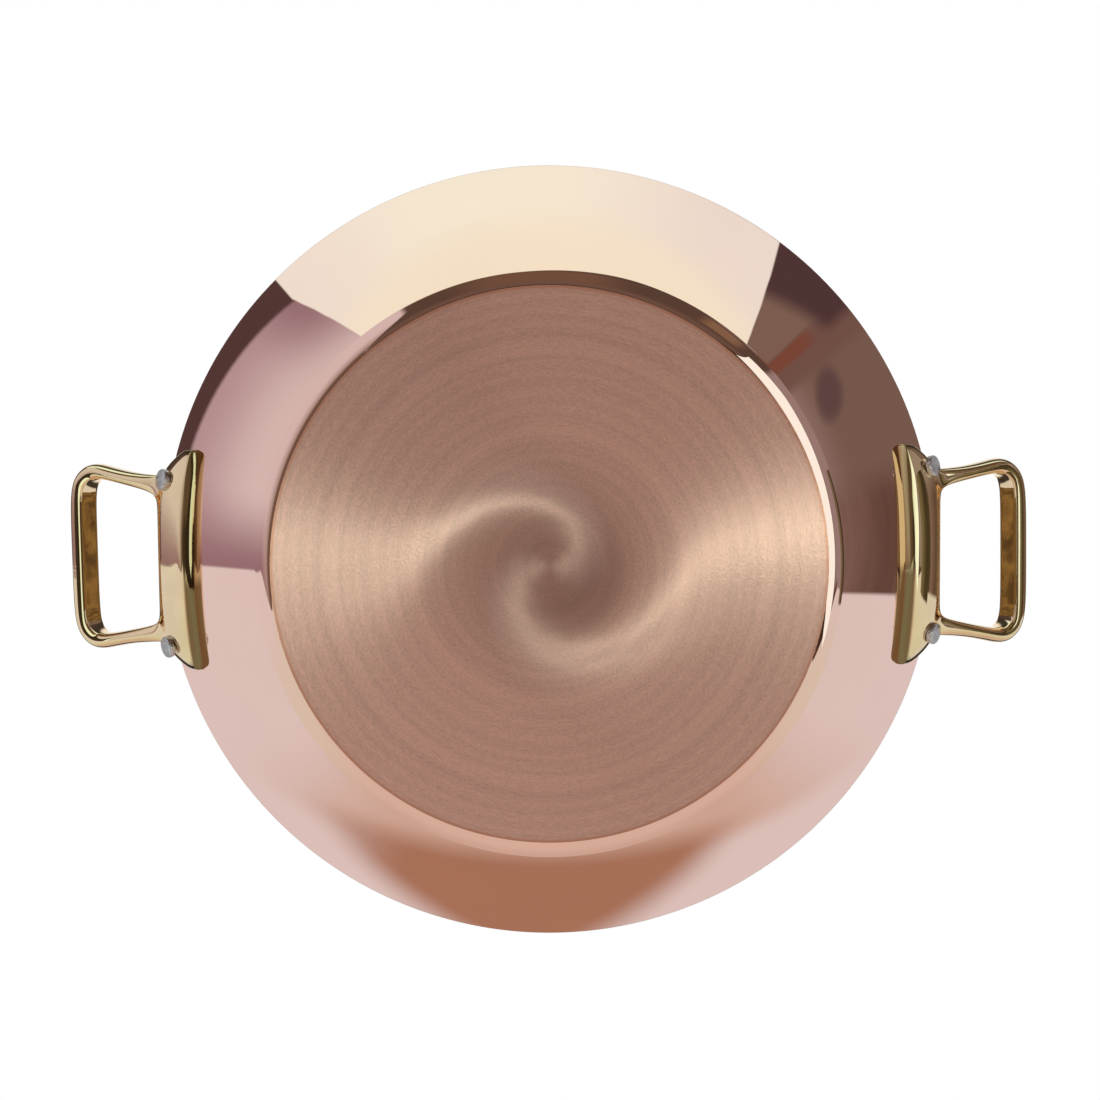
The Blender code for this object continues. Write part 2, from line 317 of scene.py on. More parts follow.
def wall_place(x_side, y_side):
    """Where one rivet's axis stands, square to the wall."""
    y = y_side * RIVET_SPACING / 2
    place = on_wall(RIVET_DROP, y, 0.0)
    radius = hypot(place.x, place.y)
    normal = Vector((place.x / radius * NORMAL.x, place.y / radius * NORMAL.x, NORMAL.y))
    place.x *= x_side
    normal.x *= x_side
    return Matrix.Translation(place) @ normal.to_track_quat("Z", "Y").to_matrix().to_4x4()


# Cast handle

def lug_half(side):
    tip = side * LUG_LENGTH / 2
    arm = side * ARM_HALF_SPAN
    inner = arm - side * (ARM_WIDTH / 2 + ARM_ROOT_FLARE)
    outer = arm + side * ARM_WIDTH / 2
    waist = [(inner * share, LUG_TOP_DROP + LUG_WAIST * (1 - share ** 2)) for share in WAIST_SHARES]
    shoulder = ((outer + tip) / 2, LUG_SHOULDER_DROP)
    arms = [(y, LUG_TOP_DROP) for y in (inner, arm, outer)]
    return waist + arms + [shoulder, (tip, LUG_TIP_DROP)]


def lug_columns():
    tip = LUG_LENGTH / 2
    middle = (0.0, LUG_TOP_DROP + LUG_WAIST)
    columns = []
    for y, top in lug_half(-1)[::-1] + [middle] + lug_half(1):
        reach = (y / tip) ** 2
        bottom = LUG_TIP_BOTTOM_DROP if reach == 1 else LUG_BOTTOM_DROP - LUG_BOTTOM_RISE * reach
        columns.append((y + CASTING_SHIFT, top, bottom, reach ** 3))
    return columns


def loop_stations():
    across = Vector((0.0, 1.0))
    along = Vector((1.0, 0.0))
    stations = []
    root_depth = LUG_SEAT / 2
    for share, width in ARM_SECTIONS:
        spread = (1 - cos(pi * share)) / 2
        span = ARM_HALF_SPAN + (LOOP_HALF_WIDTH - ARM_HALF_SPAN) * spread
        depth = root_depth + (BAR_DEPTH / 2 - root_depth) * min(1.0, share / ARM_FULL_DEPTH_SHARE)
        stations.append((LOOP_REACH * share, span, across, width / 2, depth, 0.0))
    centre = Vector((LOOP_REACH - LOOP_CORNER_RADIUS, LOOP_HALF_WIDTH - LOOP_CORNER_RADIUS))
    for turn in CORNER_TURNS:
        away = across * cos(turn) + along * sin(turn)
        place = centre + away * LOOP_CORNER_RADIUS
        stations.append((place.x, place.y, away, BAR_WIDTH / 2, BAR_DEPTH / 2, turn / CORNER_TURNS[-1]))
    for share in BAR_SHARES:
        stations.append((LOOP_REACH, LOOP_HALF_WIDTH * share, along, BAR_WIDTH / 2, BAR_DEPTH / 2, 1.0))
    return stations


def loop_ring(station, side, root):
    out, span, away, half_width, half_depth, barred = station
    outward = Vector((cos(LOOP_SLOPE), 0.0, sin(LOOP_SLOPE)))
    upward = Vector((-sin(LOOP_SLOPE), 0.0, cos(LOOP_SLOPE)))
    sideways = Vector((0.0, 1.0, 0.0))
    shift = CASTING_SHIFT + LOOP_SKEW * out / LOOP_REACH
    centre = root + outward * out + sideways * (side * span + shift)
    beside = outward * away.x + sideways * (side * away.y)
    section = [Vector(one).lerp(Vector(two), barred) for one, two in zip(ARM_SECTION, BAR_SECTION)]
    return [centre + beside * (half_width * a) + upward * (half_depth * b) for a, b in section]


def handle_cage():
    cage = bmesh.new()
    crease = cage.edges.layers.float.new("crease_edge")
    columns = lug_columns()
    last_column = len(columns) - 1
    last_row = len(LUG_ROWS) - 1
    points = {}
    for i, (y, top, bottom, thinning) in enumerate(columns):
        for j, (share, height) in enumerate(LUG_ROWS):
            front = height + (min(height, LUG_TIP_THICKNESS) - height) * thinning
            edge = i in (0, last_column) or j in (0, last_row)
            for k, out in enumerate((SEAM, (SEAM + front) / 2, front)):
                if j == last_row:
                    share, out = LUG_FOOT[k]
                if edge or k != 1:
                    points[i, j, k] = cage.verts.new(on_wall(top + (bottom - top) * share, y, out))
    arms = (ARM_COLUMN, last_column - ARM_COLUMN)

    def face(*keys):
        return cage.faces.new([points[key] for key in keys])

    for i in range(last_column):
        for j in range(last_row):
            for k in (0, 2):
                face((i, j, k), (i + 1, j, k), (i + 1, j + 1, k), (i, j + 1, k))
        for k in (0, 1):
            face((i, last_row, k), (i + 1, last_row, k), (i + 1, last_row, k + 1), (i, last_row, k + 1))
            if i not in arms and i + 1 not in arms:
                face((i, 0, k), (i + 1, 0, k), (i + 1, 0, k + 1), (i, 0, k + 1))
    for i in (0, last_column):
        for j in range(last_row):
            for k in (0, 1):
                face((i, j, k), (i, j + 1, k), (i, j + 1, k + 1), (i, j, k + 1))
    for i in arms:
        cage.verts.remove(points.pop((i, 0, 1)))

    def root_ring(arm, side):
        inner, outer = arm - side, arm + side
        keys = ((inner, 0), (inner, 1), (inner, 2), (arm, 2), (outer, 2), (outer, 1), (outer, 0), (arm, 0))
        return [points[i, 0, k] for i, k in keys]

    root = on_wall(LUG_TOP_DROP, ARM_HALF_SPAN, (LUG_SEAT + CLEARANCE) / 2)
    root.y = 0.0
    stations = loop_stations()
    rings = [root_ring(arms[1], 1)]
    rings += [[cage.verts.new(p) for p in loop_ring(station, 1, root)] for station in stations]
    rings += [[cage.verts.new(p) for p in loop_ring(station, -1, root)] for station in stations[-2::-1]]
    rings.append(root_ring(arms[0], -1))
    for one, two in zip(rings, rings[1:]):
        for i in range(8):
            cage.faces.new((one[i - 1], one[i], two[i], two[i - 1]))
    for one, two in zip(rings[len(ARM_SECTIONS) + 1:], rings[len(ARM_SECTIONS) + 2:-len(ARM_SECTIONS) - 1]):
        for corner in (0, 2):
            cage.edges.get((one[corner], two[corner]))[crease] = INNER_EDGE_CREASE
    for i in range(last_column):
        cage.edges.get((points[i, last_row, 0], points[i + 1, last_row, 0]))[crease] = 1.0
        if i not in arms and i + 1 not in arms:
            cage.edges.get((points[i, 0, 0], points[i + 1, 0, 0]))[crease] = 1.0
    for i in (0, last_column):
        for j in range(last_row):
            cage.edges.get((points[i, j, 0], points[i, j + 1, 0]))[crease] = 1.0
    bmesh.ops.recalc_face_normals(cage, faces=cage.faces)
    return cage


def frozen(piece):
    """Applies a piece's modifiers to its mesh and sets where its shading breaks."""
    graph = bpy.context.evaluated_depsgraph_get()
    mesh = bpy.data.meshes.new_from_object(piece.evaluated_get(graph), depsgraph=graph)
    piece.modifiers.clear()
    mesh.shade_smooth()
    mesh.set_sharp_from_angle(angle=SHARP_ANGLE)
    piece.data = mesh
    return piece


# Materials

class Field:
    """A number in a node tree, on which plain arithmetic can be written."""

    def __init__(self, tree, socket):
        self.tree = tree
        self.socket = socket

    def op(self, operation, *others):
        node = self.tree.nodes.new("ShaderNodeMath")
        node.operation = operation
        for slot, value in zip(node.inputs, (self, *others)):
            if isinstance(value, Field):
                self.tree.links.new(value.socket, slot)
            else:
                slot.default_value = value
        return Field(self.tree, node.outputs[0])

    def __add__(self, other):
        return self.op("ADD", other)

    def __sub__(self, other):
        return self.op("SUBTRACT", other)

    def __mul__(self, other):
        return self.op("MULTIPLY", other)

    def __truediv__(self, other):
        return self.op("DIVIDE", other)

    def ramp(self, low, high, start=0.0, end=1.0):
        """Smooth step from start at low to end at high."""
        node = self.tree.nodes.new("ShaderNodeMapRange")
        node.interpolation_type = "SMOOTHSTEP"
        self.tree.links.new(self.socket, node.inputs["Value"])
        for name, value in (("From Min", low), ("From Max", high), ("To Min", start), ("To Max", end)):
            node.inputs[name].default_value = value
        return Field(self.tree, node.outputs["Result"])

    def band(self, low, high, soft):
        """1 between low and high, falling off over soft on both sides."""
        start = self.ramp(low - soft / 2, low + soft / 2)
        end = self.ramp(high - soft / 2, high + soft / 2, 1.0, 0.0)
        return start * end


def new_material(name):
    made = bpy.data.materials.new(name)
    made.use_nodes = True
    return made, made.node_tree, made.node_tree.nodes["Principled BSDF"]


def object_place(tree):
    """X, y and z of the shaded point in the dish's frame."""
    coordinate = tree.nodes.new("ShaderNodeTexCoord")
    split = tree.nodes.new("ShaderNodeSeparateXYZ")
    tree.links.new(coordinate.outputs["Object"], split.inputs[0])
    return [Field(tree, output) for output in split.outputs]


def combine(tree, x, y, z):
    node = tree.nodes.new("ShaderNodeCombineXYZ")
    for slot, value in zip(node.inputs, (x, y, z)):
        if isinstance(value, Field):
            tree.links.new(value.socket, slot)
        else:
            slot.default_value = value
    return node.outputs[0]


def noise(tree, vector, scale, detail=2.0, roughness=0.5):
    node = tree.nodes.new("ShaderNodeTexNoise")
    node.inputs["Scale"].default_value = scale
    node.inputs["Detail"].default_value = detail
    node.inputs["Roughness"].default_value = roughness
    tree.links.new(vector, node.inputs["Vector"])
    return Field(tree, node.outputs["Fac"])


def from_axis(x, y):
    return (x * x + y * y).op("SQRT")


def mix_colors(tree, factor, one, two):
    node = tree.nodes.new("ShaderNodeMix")
    node.data_type = "RGBA"
    tree.links.new(factor.socket, node.inputs["Factor"])
    for slot, value in ((node.inputs[6], one), (node.inputs[7], two)):
        if isinstance(value, tuple):
            slot.default_value = (*value, 1.0)
        else:
            tree.links.new(value, slot)
    return node.outputs[2]


def bump(tree, shader, height, distance):
    node = tree.nodes.new("ShaderNodeBump")
    node.inputs["Strength"].default_value = 1.0
    node.inputs["Distance"].default_value = distance
    tree.links.new(height.socket, node.inputs["Height"])
    tree.links.new(node.outputs[0], shader.inputs["Normal"])


def shaded(color, factor):
    return tuple(channel * factor for channel in color)


def polished_copper():
    made, tree, shader = new_material("polished_copper")
    x, y, z = object_place(tree)
    radius = from_axis(x, y)
    vector = combine(tree, x, y, z)
    cloud = noise(tree, vector, 30.0, 3.0)
    hairs = noise(tree, combine(tree, x / radius, y / radius, radius * 900.0), 3.0, 2.0)
    color = mix_colors(tree, cloud.ramp(0.35, 0.65), shaded(COPPER_TINT, 0.985), COPPER_TINT)
    tree.links.new(color, shader.inputs["Base Color"])
    tree.links.new((hairs.ramp(0.4, 0.75) * 0.001 + cloud * 0.001 + 0.001).socket, shader.inputs["Roughness"])
    shader.inputs["Metallic"].default_value = 1.0
    return made


def spun_copper():
    """The satin base, with brush marks round the centre that turn into a swirl near it, painted shade along
    its edge and a patch of painted shade beside its centre.
    """
    made, tree, shader = new_material("spun_copper")
    x, y, z = object_place(tree)
    radius = from_axis(x, y)
    around = y.op("ARCTAN2", x)
    lopsided = (x * SWIRL_SIDE[0] + y * SWIRL_SIDE[1]) / radius * SWIRL_LEAN - 1.0
    turn = (radius / SWIRL_RADIUS).op("POWER", 2.0) * lopsided
    turn = around - turn.op("EXPONENT") * SWIRL_TURN
    tangent = combine(tree, turn.op("COSINE"), turn.op("SINE"), 0.0)
    tree.links.new(tangent, shader.inputs["Tangent"])

    rings = noise(tree, combine(tree, 0.0, 0.0, radius * 260.0), 1.0, 4.0, 0.65)
    marks = noise(tree, combine(tree, x / radius, y / radius, radius * 70.0), 36.0, 2.0)
    fine = noise(tree, combine(tree, x, y, z), 2000.0, 2.0)
    shade = rings.ramp(0.3, 0.7) * 0.42 + marks.ramp(0.3, 0.7) * 0.28 + fine.ramp(0.3, 0.7) * 0.30
    color = mix_colors(tree, shade, shaded(COPPER_TINT, 0.67), shaded(COPPER_TINT, 1.04))
    # painted shade: a darker, redder ring along the base's rounded edge
    color = mix_colors(tree, radius.ramp(*BASE_EDGE_SHADE_RING, 0.0, 0.8), color, BASE_EDGE_SHADE_COLOR)
    color = mix_colors(tree, radius.ramp(0.002, 0.012, 0.12, 0.0), color, BASE_CENTRE_COLOR)
    # painted shade: darker on one side of the base's centre, in a ring round it
    painted_shade = ((x * PAINTED_SHADE_SIDE[0] + y * PAINTED_SHADE_SIDE[1]) / radius).ramp(-0.2, 1.0, 0.0, 0.35)
    color = mix_colors(tree, painted_shade * radius.band(*PAINTED_SHADE_RING), color, PAINTED_SHADE_COLOR)
    tree.links.new(color, shader.inputs["Base Color"])
    centre = radius.ramp(0.006, 0.036, CENTRE_ROUGHNESS, 0.0)
    tree.links.new((shade * SATIN_SPREAD + centre + SATIN_ROUGHNESS).socket, shader.inputs["Roughness"])
    bump(tree, shader, marks + fine * 0.9, 0.00002)
    shader.inputs["Metallic"].default_value = 1.0
    shader.inputs["Anisotropic"].default_value = 0.97
    return made


def satin_steel():
    made, tree, shader = new_material("satin_steel")
    x, y, z = object_place(tree)
    radius = from_axis(x, y)
    rings = noise(tree, combine(tree, 0.0, 0.0, radius * 300.0), 1.0, 4.0, 0.6)
    marks = noise(tree, combine(tree, x / radius, y / radius, radius * 1500.0), 8.0, 2.0)
    shade = rings.ramp(0.3, 0.7) * 0.5 + marks.ramp(0.3, 0.7) * 0.5
    color = mix_colors(tree, shade, (0.55, 0.54, 0.525), (0.66, 0.65, 0.63))
    tree.links.new(color, shader.inputs["Base Color"])
    tree.links.new((shade * 0.06 + 0.24).socket, shader.inputs["Roughness"])
    bump(tree, shader, marks * 0.7 + rings * 0.3, 0.000008)
    shader.inputs["Metallic"].default_value = 1.0
    return made


def cast_brass():
    made, tree, shader = new_material("cast_brass")
    x, y, z = object_place(tree)
    vector = combine(tree, x, y, z)
    cloud = noise(tree, vector, 120.0, 3.0)
    pits = noise(tree, vector, 900.0, 3.0)
    color = mix_colors(tree, cloud.ramp(0.35, 0.7), shaded(BRASS_TINT, 0.93), BRASS_TINT)
    run = from_axis(x, y) - RIM_RADIUS
    drop = run * -UPHILL.x - (z - BOWL_HEIGHT) * UPHILL.y
    out = run * NORMAL.x + (z - BOWL_HEIGHT) * NORMAL.y
    # painted shade under the lug's lower edge, darker still towards +Y
    corner = out.ramp(*CORNER_SHADE_HEIGHT, 1.0, 0.0) * drop.ramp(*CORNER_SHADE_DROP)
    corner_shade_color = mix_colors(tree, y.ramp(0.002, 0.006), CORNER_SHADE_BRASS, CORNER_SHADE_BRASS_DARK)
    color = mix_colors(tree, corner, color, corner_shade_color)
    tree.links.new(color, shader.inputs["Base Color"])
    tree.links.new((cloud * 0.001 + pits.ramp(0.5, 0.8) * 0.001 + 0.001).socket, shader.inputs["Roughness"])
    bump(tree, shader, cloud * 0.85 + pits * 0.15, 0.00003)
    shader.inputs["Metallic"].default_value = 1.0
    return made


def rivet_steel():
    made, tree, shader = new_material("rivet_steel")
    x, y, z = object_place(tree)
    vector = combine(tree, x, y, z)
    dents = noise(tree, vector, 700.0, 2.0)
    fine = noise(tree, vector, 4000.0, 2.0)
    color = mix_colors(tree, dents.ramp(0.3, 0.7), (0.50, 0.495, 0.51), (0.64, 0.63, 0.64))
    tree.links.new(color, shader.inputs["Base Color"])
    tree.links.new((dents * 0.12 + 0.22).socket, shader.inputs["Roughness"])
    bump(tree, shader, dents * 0.8 + fine * 0.2, 0.00003)
    shader.inputs["Metallic"].default_value = 1.0
    return made


# Studio, in the strengths of red, green and blue where 1 is white

PLAIN_STRENGTH = 0.6
STRIP_RISE = -63.0
STRIP_RIGHT = (5.1, 5.8, 4.9)
STRIP_LEFT = (3.5, 4.1, 3.5)
STEEL_GREY = (0.46, 0.455, 0.45)


def seen(red, green, blue, tint=COPPER_TINT):
    """Light that polished copper shows as the given sRGB colour."""
    def linear(value):
        share = value / 255
        return share / 12.92 if share <= 0.04045 else ((share + 0.055) / 1.055) ** 2.4
    return tuple(linear(value) / part for value, part in zip((red, green, blue), tint))


class Sky:
    """The studio as metal sees it, painted by direction from far to near.

    turn is the picture's angle from -180 to 180 degrees, round the same angle from 0 to 360, and rise
    the elevation above the dish's horizon.
    """

    def __init__(self, tree, color):
        coordinate = tree.nodes.new("ShaderNodeTexCoord")
        split = tree.nodes.new("ShaderNodeSeparateXYZ")
        tree.links.new(coordinate.outputs["Generated"], split.inputs[0])
        x, y, z = (Field(tree, output) for output in split.outputs)
        self.tree = tree
        self.turn = (y * -1.0).op("ARCTAN2", x) * (180 / pi)
        self.round = self.turn.op("FLOORED_MODULO", 360.0)
        self.rise = z.op("ARCSINE") * (180 / pi)
        self.color = color

    def paint(self, mask, color):
        self.color = mix_colors(self.tree, mask, self.color, color)

    def above(self, level, soft):
        return (self.rise - level).ramp(-soft / 2, soft / 2)

    def below(self, level, soft):
        return (self.rise - level).ramp(-soft / 2, soft / 2, 1.0, 0.0)


def paint_sky(tree):
    sky = Sky(tree, seen(88, 62, 50))
    turn, around, rise = sky.turn, sky.round, sky.rise
    low = (rise * -1.0 - 20.0).op("MAXIMUM", 0.0)
    bend = low * low
    pale_start = bend * 0.0066 + 184.5
    pale_end = bend * -0.009 + 350.0

    # Dim room beside the softbox
    sky.paint(turn.band(75, 107, 14) * sky.below(0, 20), seen(112, 76, 58))
    glow = (rise - (turn - 100.0).op("ABSOLUTE") * 0.3).ramp(0, 16)
    sky.paint(turn.band(78, 124, 16) * glow, seen(236, 200, 166))
    sky.paint(turn.band(45, 54, 4) * sky.below(0, 12) * sky.above(-48, 12), seen(130, 92, 68))
    sky.paint(sky.below(-62, 26), seen(108, 76, 62))
    wall = turn.band(-12, 37, 2)
    sky.paint(wall * sky.above(-60, 20), seen(150, 118, 110))
    sky.paint(wall * (rise - turn * -0.06 - 22.6).ramp(-0.9, 0.9), seen(118, 86, 74))
    sky.paint(turn.band(-16, 0, 14) * sky.above(23, 1.6), seen(96, 66, 58))
    spot = (turn - 26.0) * (turn - 26.0) * 0.04 + (rise - 22.0) * (rise - 22.0) * 3.6
    sky.paint(spot.ramp(0.2, 1.4, 0.85, 0.0), seen(88, 62, 60))
    sky.paint(turn.band(31, 37.5, 3) * sky.above(19.5, 1.0), seen(112, 78, 68))
    slant = turn + rise * 0.4
    sky.paint(slant.band(43.6, 46.4, 1.2) * sky.below(22.0, 0.8) * sky.above(8, 8), seen(120, 68, 52))
    sky.paint(slant.band(46.4, 58, 1.0) * sky.above(8, 8), seen(124, 92, 78))
    sky.paint(turn.band(35, 60, 3) * (rise - turn * -0.10 - 26.1).ramp(-0.35, 0.35), seen(78, 52, 50))
    sky.paint(turn.band(-40, 37, 2) * sky.below(-45, 20), seen(62, 40, 32))

    # Pale backdrop under the picture, warmer in its middle
    pale = (around - pale_start).ramp(-0.4, 0.4) * (around - pale_end).ramp(-0.5, 0.5, 1.0, 0.0)
    sky.paint((around - pale_end).band(-2.0, 2.4, 1.2) * sky.below(-30, 10), seen(86, 50, 40))
    sky.paint(pale, seen(219, 187, 178))
    sky.paint(pale * around.band(204, 342, 24) * sky.below(22, 8), seen(216, 187, 166))
    warm = mix_colors(tree, rise.ramp(-50, 20), seen(215, 171, 151), seen(205, 160, 140))
    sky.paint(pale * around.band(228, 314, 30) * sky.below(27.9, 0.8), warm)
    tent = (around - rise * 0.85 - 240.9).op("ABSOLUTE") + rise * 11.15 - 333.4
    tent = tent.ramp(5, 18, 1.0, 0.0) * around.band(234, 303, 26)
    sky.paint(tent * sky.above(27.5, 1.0), seen(166, 109, 84))

    # Mauve panel on the left with the dark room over it
    mauve_start = bend * 0.0065 + 121.0
    mauve = (around - mauve_start).ramp(-1.0, 1.0) * (around - pale_start).ramp(-0.3, 0.3, 1.0, 0.0)
    sky.paint(mauve, seen(212, 178, 171))
    top = rise - around * 0.072 - 12.45
    sky.paint(mauve * top.ramp(-2.4, 0.1), seen(180, 140, 139))
    sky.paint(mauve * around.ramp(135, 150, 1.0, 0.0) * top.ramp(-2.6, -0.2), seen(150, 108, 110))
    sky.paint(mauve * (around - pale_start).ramp(-16, 0), seen(150, 106, 108))
    sky.paint(mauve * sky.below(-50, 40), seen(168, 132, 118))
    sky.paint(mauve * sky.below(-66, 12), seen(110, 78, 64))
    sky.paint(around.band(128, 184, 1.0) * top.ramp(-0.08, 0.08), seen(82, 54, 50))

    # Cream softbox over the top of the picture
    start = (rise - 20.1) * 2.0 + 44.6
    end = ((rise - 22.4) * 2.2).op("MINIMUM", 0.0) + 136.8
    fade = (around - 75.0).ramp(-6, 20) * 15.0
    cream = (around - start).ramp(-0.3, 0.3) * (around - end).ramp(-0.25, 0.25, 1.0, 0.0)
    cream = cream * (rise + fade - 18.4).ramp(-0.3, 0.3)
    sky.paint(cream, seen(246, 229, 206))
    sky.paint(cream * around.ramp(58, 92, 0.9, 0.0), seen(236, 213, 200))
    sky.paint(cream * around.ramp(108, 134, 0.0, 0.9), seen(239, 217, 201))
    sky.paint(cream * sky.below(20.4, 1.6), seen(245, 223, 196))

    # Camera and photographer
    sky.paint(sky.below(-80, 8), seen(72, 50, 40))

    # Light that only satin metal sees: the base's ground with its two lobes, and grey for the steel inside
    path = tree.nodes.new("ShaderNodeLightPath")
    rough = Field(tree, path.outputs["Is Singular Ray"]) * -1.0 + 1.0
    under = sky.below(-40, 20) * rough
    sky.paint(under, (0.325, 0.25, 0.22))
    sky.paint(around.band(215, 325, 40) * under, (0.56, 0.46, 0.41))
    sky.paint(around.band(112, 166, 26) * under, (0.21, 0.155, 0.13))
    strip = (rise - STRIP_RISE).op("ABSOLUTE").ramp(8, 20, 1.0, 0.0) * rough
    sky.paint(turn.band(-8, 3, 3) * strip, STRIP_RIGHT)
    sky.paint(around.band(178, 188, 3) * strip, STRIP_LEFT)
    sky.paint(sky.above(5, 10) * rough * 0.8, STEEL_GREY)

    # Dim wall and pale ceiling over the panels, which only the inside of the dish and the handles see
    sky.paint(sky.above(33, 4), (0.05, 0.045, 0.04))
    sky.paint(sky.above(33, 4) * rough, STEEL_GREY)
    sky.paint(sky.above(56, 16), (0.95, 0.95, 0.95))
    return sky.color


def build_world():
    """Plain light for what is matt, the painted studio for reflections and white for the camera."""
    world = bpy.data.worlds.new("studio")
    bpy.context.scene.world = world
    world.use_nodes = True
    tree = world.node_tree
    tree.nodes.clear()
    out = tree.nodes.new("ShaderNodeOutputWorld")
    plain = tree.nodes.new("ShaderNodeBackground")
    plain.inputs["Color"].default_value = (1.0, 1.0, 1.0, 1.0)
    plain.inputs["Strength"].default_value = PLAIN_STRENGTH
    studio = tree.nodes.new("ShaderNodeBackground")
    tree.links.new(paint_sky(tree), studio.inputs["Color"])
    white = tree.nodes.new("ShaderNodeBackground")
    white.inputs["Color"].default_value = (1.0, 1.0, 1.0, 1.0)
    path = tree.nodes.new("ShaderNodeLightPath")
    through = Field(tree, path.outputs["Is Transmission Ray"])
    glossy = Field(tree, path.outputs["Is Glossy Ray"]).op("MAXIMUM", through)
    result = plain.outputs[0]
    for factor, shader in ((glossy, studio), (Field(tree, path.outputs["Is Camera Ray"]), white)):
        mix = tree.nodes.new("ShaderNodeMixShader")
        tree.links.new(factor.socket, mix.inputs[0])
        tree.links.new(result, mix.inputs[1])
        tree.links.new(shader.outputs[0], mix.inputs[2])
        result = mix.outputs[0]
    tree.links.new(result, out.inputs["Surface"])
    world.cycles.sampling_method = "NONE"


def stage_object(name, mesh, finish):
    made = bpy.data.objects.new(name, mesh)
    bpy.context.scene.collection.objects.link(made)
    mesh.materials.append(finish)
    return made


FLOOR_Z = -0.0002
FLOOR_SIZE = 6.0


def build_floor():
    """A pale floor that is there only for who looks from above: from below the dish is seen through it."""
    made = bpy.data.materials.new("floor")
    made.use_nodes = True
    tree = made.node_tree
    tree.nodes.clear()
    out = tree.nodes.new("ShaderNodeOutputMaterial")
    pale = tree.nodes.new("ShaderNodeBsdfDiffuse")
    white = tree.nodes.new("ShaderNodeEmission")
    clear = tree.nodes.new("ShaderNodeBsdfTransparent")
    path = tree.nodes.new("ShaderNodeLightPath")
    side = tree.nodes.new("ShaderNodeNewGeometry")
    x, y, z = object_place(tree)
    radius = from_axis(x, y)
    grain = noise(tree, combine(tree, x, y, z), 40.0, 4.0)
    color = mix_colors(tree, grain, (0.80, 0.795, 0.785), (0.84, 0.835, 0.825))
    tree.links.new(color, pale.inputs["Color"])
    fade = tree.nodes.new("ShaderNodeMixShader")
    looked_at = Field(tree, path.outputs["Is Camera Ray"])
    for output in ("Is Glossy Ray", "Is Transmission Ray"):
        looked_at = looked_at.op("MAXIMUM", Field(tree, path.outputs[output]))
    tree.links.new((radius.ramp(0.25, 1.2) * looked_at).socket, fade.inputs[0])
    tree.links.new(pale.outputs[0], fade.inputs[1])
    tree.links.new(white.outputs[0], fade.inputs[2])
    depth = Field(tree, path.outputs["Transparent Depth"])
    gone = Field(tree, side.outputs["Backfacing"]).op("MAXIMUM", depth).op("MINIMUM", 1.0)
    show = tree.nodes.new("ShaderNodeMixShader")
    tree.links.new(gone.socket, show.inputs[0])
    tree.links.new(fade.outputs[0], show.inputs[1])
    tree.links.new(clear.outputs[0], show.inputs[2])
    tree.links.new(show.outputs[0], out.inputs["Surface"])

    shape = bmesh.new()
    bmesh.ops.create_circle(shape, cap_ends=True, segments=96, radius=FLOOR_SIZE)
    mesh = bpy.data.meshes.new("floor")
    shape.to_mesh(mesh)
    shape.free()
    floor = stage_object("floor", mesh, made)
    floor.location.z = FLOOR_Z
    floor.visible_shadow = False


def upright_card(x, y_low, y_high, z_low, z_high):
    return (x, y_low, z_low), (x, y_high, z_low), (x, y_high, z_high), (x, y_low, z_high)


def level_card(x_low, x_high, y_low, y_high, z):
    return (x_low, y_low, z), (x_high, y_low, z), (x_high, y_high, z), (x_low, y_high, z)


SIDE_CARD = upright_card(0.165, -0.046, 0.035, -0.012, 0.100)
LOOP_CARD = upright_card(0.0, -0.0225, 0.0235, 0.055, 0.170)
BAR_CARD = level_card(0.1222, 0.1266, -0.020, 0.020, 0.036)
FAR_BAR_CARD = level_card(-0.139, -0.1242, -0.020, 0.021, 0.036)
LOW_CARD = [
    (x, y, -0.3)
    for x, y in ((0.098, 0.030), (0.31, 0.130), (0.496, -0.30), (0.33, -0.30), (0.098, -0.085))
]
CREAM = (0.97, 1.22, 1.12)


def build_card(name, corners, paint, one_sided=False):
    """A studio card that only mirror-like reflections see, with the colour and the cover that paint gives."""
    made = bpy.data.materials.new(name)
    made.use_nodes = True
    tree = made.node_tree
    tree.nodes.clear()
    out = tree.nodes.new("ShaderNodeOutputMaterial")
    glow = tree.nodes.new("ShaderNodeEmission")
    clear = tree.nodes.new("ShaderNodeBsdfTransparent")
    path = tree.nodes.new("ShaderNodeLightPath")
    color, cover = paint(tree, *object_place(tree))
    shown = Field(tree, path.outputs["Is Singular Ray"]) * cover
    if one_sided:
        back = Field(tree, tree.nodes.new("ShaderNodeNewGeometry").outputs["Backfacing"])
        shown = shown * (back * -1.0 + 1.0)
    if isinstance(color, tuple):
        glow.inputs["Color"].default_value = (*color, 1.0)
    else:
        tree.links.new(color, glow.inputs["Color"])
    show = tree.nodes.new("ShaderNodeMixShader")
    tree.links.new(shown.socket, show.inputs[0])
    tree.links.new(clear.outputs[0], show.inputs[1])
    tree.links.new(glow.outputs[0], show.inputs[2])
    tree.links.new(show.outputs[0], out.inputs["Surface"])
    mesh = bpy.data.meshes.new(name)
    mesh.from_pydata(corners, [], [tuple(range(len(corners)))])
    card = stage_object(name, mesh, made)
    card.visible_camera = False
    card.visible_diffuse = False
    card.visible_shadow = False


